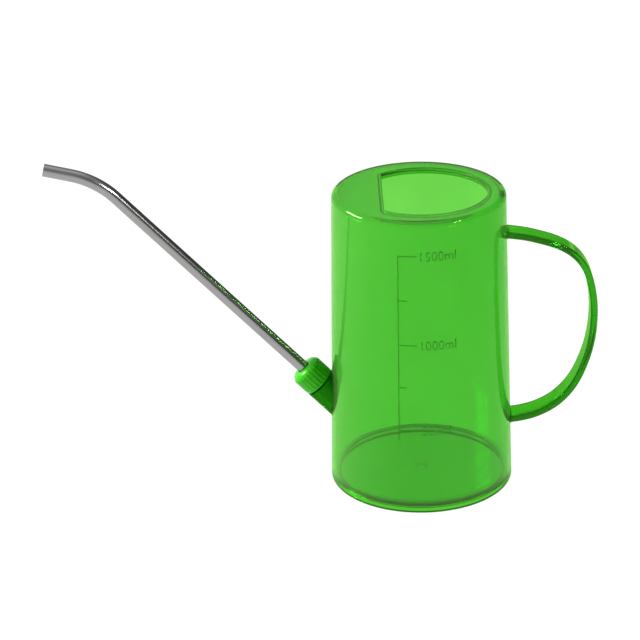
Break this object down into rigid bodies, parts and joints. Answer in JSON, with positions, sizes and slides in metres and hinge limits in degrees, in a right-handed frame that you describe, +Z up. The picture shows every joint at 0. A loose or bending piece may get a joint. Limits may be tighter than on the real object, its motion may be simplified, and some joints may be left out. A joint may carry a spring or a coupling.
{
  "type": "watering can",
  "caption": "Long-spout watering can: tapered see-through vessel with a D-shaped filling mouth, strap handle and a bent steel spout held by a ribbed screw nut.",
  "frame": {"origin": "on the vessel's own axis, in the plane of the foot ring it stands on", "axes": "+Z up along the vessel's axis; the spout leaves towards -X and the handle is on +X; the plane y = 0 is the plane of symmetry"},
  "size_m": [0.3393, 0.115, 0.2164],
  "materials": {
    "vessel_plastic": "see-through green, moulded gloss",
    "handle_plastic": "see-through green, moulded gloss",
    "socket_plastic": "see-through green, thick section, gloss",
    "nut_plastic": "see-through green, ribbed, gloss",
    "collar_plastic": "see-through green, satin",
    "seal_silicone": "natural silicone, matt",
    "tube_steel": "drawn stainless tube, brushed along its length"
  },
  "bodies": {
    "vessel": {"vessel_shell": "vessel_plastic", "base_plate": "vessel_plastic", "handle": "handle_plastic", "spout_socket": "socket_plastic"},
    "seal": {"sealing_washer": "seal_silicone"},
    "spout": {"spout_tube": "tube_steel", "tube_collar": "collar_plastic"},
    "nut": {"coupling_nut": "nut_plastic"}
  },
  "joints": [
    {"name": "spout_withdraw", "type": "slide", "parent": "vessel", "child": "seal", "axis": [-0.6876, 0, 0.7261], "range_m": [0, 0.009]},
    {"name": "spout_swivel", "type": "hinge", "parent": "seal", "child": "spout", "pos_m": [-0.0563, 0, 0.0574], "axis": [-0.6876, 0, 0.7261], "continuous": true},
    {"name": "nut_turn", "type": "hinge", "parent": "seal", "child": "nut", "pos_m": [-0.0563, 0, 0.0574], "axis": [-0.6876, 0, 0.7261], "range_deg": [0, 1080]}
  ],
  "couplings": [
    {"joint": "nut_turn", "follows": "spout_withdraw", "rad_per_m": 2094.4}
  ]
}
